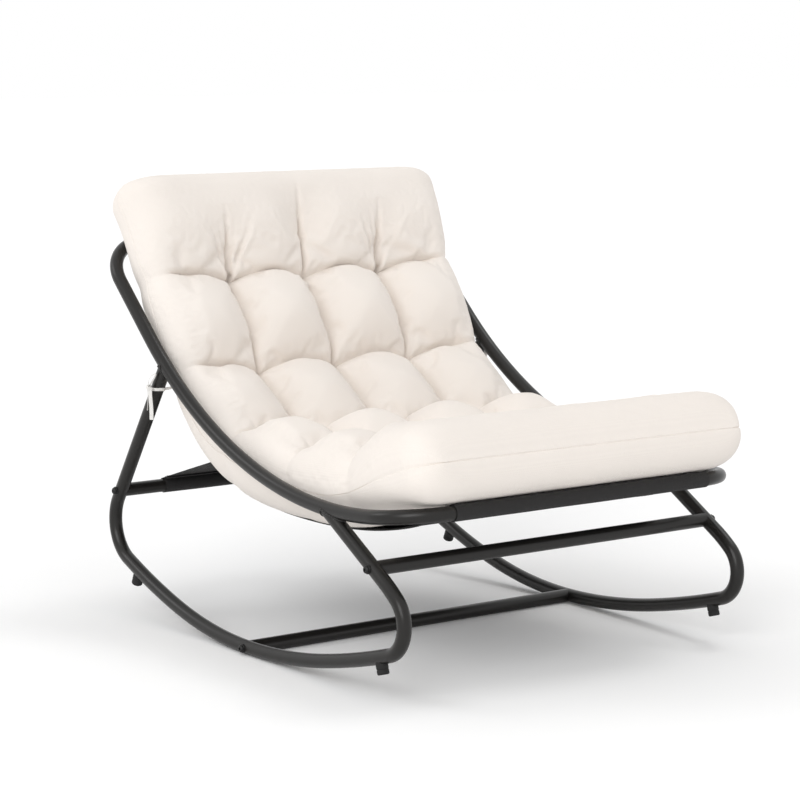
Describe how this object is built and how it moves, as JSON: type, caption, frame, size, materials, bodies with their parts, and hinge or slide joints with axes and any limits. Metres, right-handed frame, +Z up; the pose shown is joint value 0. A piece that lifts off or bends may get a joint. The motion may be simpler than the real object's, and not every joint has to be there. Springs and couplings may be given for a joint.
{
  "type": "rocking lounge chair",
  "caption": "Low armless rocking lounge chair: bent steel tube frame on bow rockers, black fabric sling and one thick tufted ivory cushion tied to the frame.",
  "frame": {"origin": "on the floor, under the middle of the chair's box", "axes": "+Z up, -Y the way the sitter faces, +X the sitter's left"},
  "size_m": [0.8088, 1.0432, 0.8405],
  "materials": {
    "left_side_rail": "charcoal powder coat, satin",
    "right_side_rail": "charcoal powder coat, satin",
    "left_rocker": "charcoal powder coat, satin",
    "right_rocker": "charcoal powder coat, satin",
    "front_crossbar": "charcoal powder coat, satin",
    "rear_crossbar": "charcoal powder coat, satin",
    "bottom_crossbar": "charcoal powder coat, satin",
    "top_rail_joiner": "zinc plated",
    "front_rail_joiner": "zinc plated",
    "top_left_joiner_screw": "black plated steel",
    "top_right_joiner_screw": "black plated steel",
    "front_left_joiner_screw": "black plated steel",
    "front_right_joiner_screw": "black plated steel",
    "left_front_bolt": "black plated steel",
    "left_front_insert": "zinc plated",
    "left_front_washer": "black plated steel",
    "left_rear_bolt": "black plated steel",
    "left_rear_insert": "zinc plated",
    "left_rear_washer": "black plated steel",
    "left_bottom_bolt": "black plated steel",
    "left_bottom_insert": "zinc plated",
    "left_bottom_washer": "black plated steel",
    "right_front_bolt": "black plated steel",
    "right_front_insert": "zinc plated",
    "right_front_washer": "black plated steel",
    "right_rear_bolt": "black plated steel",
    "right_rear_insert": "zinc plated",
    "right_rear_washer": "black plated steel",
    "right_bottom_bolt": "black plated steel",
    "right_bottom_insert": "zinc plated",
    "right_bottom_washer": "black plated steel",
    "left_front_stop": "black, matt",
    "left_rear_stop": "black, matt",
    "right_front_stop": "black, matt",
    "right_rear_stop": "black, matt",
    "seat_sling": "black woven sling cloth",
    "lumbar_panel": "black woven sling cloth",
    "cushion": "ivory woven cover, tufted",
    "left_tie_band": "white woven tape",
    "left_tie_knot": "white woven tape",
    "left_tie_loop": "white woven tape",
    "left_tie_long_tail": "white woven tape",
    "left_tie_short_tail": "white woven tape",
    "right_tie_band": "white woven tape",
    "right_tie_knot": "white woven tape",
    "right_tie_loop": "white woven tape",
    "right_tie_long_tail": "white woven tape",
    "right_tie_short_tail": "white woven tape"
  },
  "bodies": {
    "root": {"left_side_rail": "left_side_rail", "right_side_rail": "right_side_rail", "left_rocker": "left_rocker", "right_rocker": "right_rocker", "front_crossbar": "front_crossbar", "rear_crossbar": "rear_crossbar", "bottom_crossbar": "bottom_crossbar", "top_rail_joiner": "top_rail_joiner", "front_rail_joiner": "front_rail_joiner", "top_left_joiner_screw": "top_left_joiner_screw", "top_right_joiner_screw": "top_right_joiner_screw", "front_left_joiner_screw": "front_left_joiner_screw", "front_right_joiner_screw": "front_right_joiner_screw", "left_front_bolt": "left_front_bolt", "left_front_insert": "left_front_insert", "left_front_washer": "left_front_washer", "left_rear_bolt": "left_rear_bolt", "left_rear_insert": "left_rear_insert", "left_rear_washer": "left_rear_washer", "left_bottom_bolt": "left_bottom_bolt", "left_bottom_insert": "left_bottom_insert", "left_bottom_washer": "left_bottom_washer", "right_front_bolt": "right_front_bolt", "right_front_insert": "right_front_insert", "right_front_washer": "right_front_washer", "right_rear_bolt": "right_rear_bolt", "right_rear_insert": "right_rear_insert", "right_rear_washer": "right_rear_washer", "right_bottom_bolt": "right_bottom_bolt", "right_bottom_insert": "right_bottom_insert", "right_bottom_washer": "right_bottom_washer", "left_front_stop": "left_front_stop", "left_rear_stop": "left_rear_stop", "right_front_stop": "right_front_stop", "right_rear_stop": "right_rear_stop", "seat_sling": "seat_sling", "lumbar_panel": "lumbar_panel", "cushion": "cushion", "left_tie_band": "left_tie_band", "left_tie_knot": "left_tie_knot", "left_tie_loop": "left_tie_loop", "left_tie_long_tail": "left_tie_long_tail", "left_tie_short_tail": "left_tie_short_tail", "right_tie_band": "right_tie_band", "right_tie_knot": "right_tie_knot", "right_tie_loop": "right_tie_loop", "right_tie_long_tail": "right_tie_long_tail", "right_tie_short_tail": "right_tie_short_tail"}
  },
  "joints": []
}
